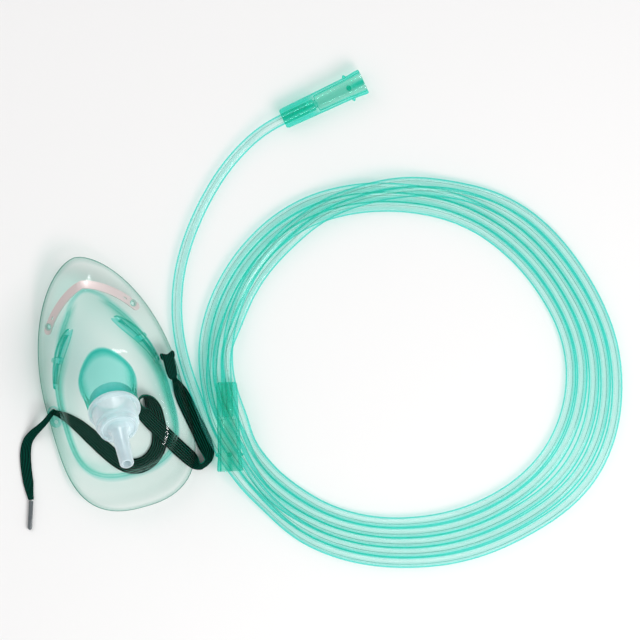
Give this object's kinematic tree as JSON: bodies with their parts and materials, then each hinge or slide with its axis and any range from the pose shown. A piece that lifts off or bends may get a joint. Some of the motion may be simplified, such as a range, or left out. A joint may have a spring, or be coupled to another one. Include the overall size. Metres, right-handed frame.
{
  "type": "oxygen face mask",
  "caption": "Clear soft oxygen mask with a bent nose clip, side vents, an elastic strap, a turning tube adapter and a coiled supply tube with funnel connectors.",
  "frame": {"origin": "on the table, under the middle of the face flange's length and width", "axes": "+Y towards the nose end of the mask, +X towards the coil (the wearer's left), +Z away from the face"},
  "size_m": [0.3397, 0.2747, 0.0843],
  "materials": {
    "clear_shell": "clear green-tinted soft plastic",
    "clip_metal": "satin strip",
    "adapter_plastic": "milky translucent plastic",
    "strap_elastic": "dark ribbed elastic",
    "tip_plastic": "hard dark tip",
    "connector_plastic": "green tinted translucent plastic",
    "tube_plastic": "clear green-tinted tube"
  },
  "bodies": {
    "mask": {"mask_shell": "clear_shell", "nose_clip": "clip_metal", "head_strap": "strap_elastic", "strap_tip": "tip_plastic", "connector_free": "connector_plastic", "connector_coiled": "connector_plastic", "supply_tube_lead": "tube_plastic", "supply_tube_coil": "tube_plastic"},
    "adapter": {"swivel_adapter": "adapter_plastic"}
  },
  "joints": [
    {"name": "adapter_swivel", "type": "hinge", "parent": "mask", "child": "adapter", "pos_m": [0, -0.0143, 0.05347], "axis": [0, -0.7314, 0.682], "continuous": true}
  ]
}
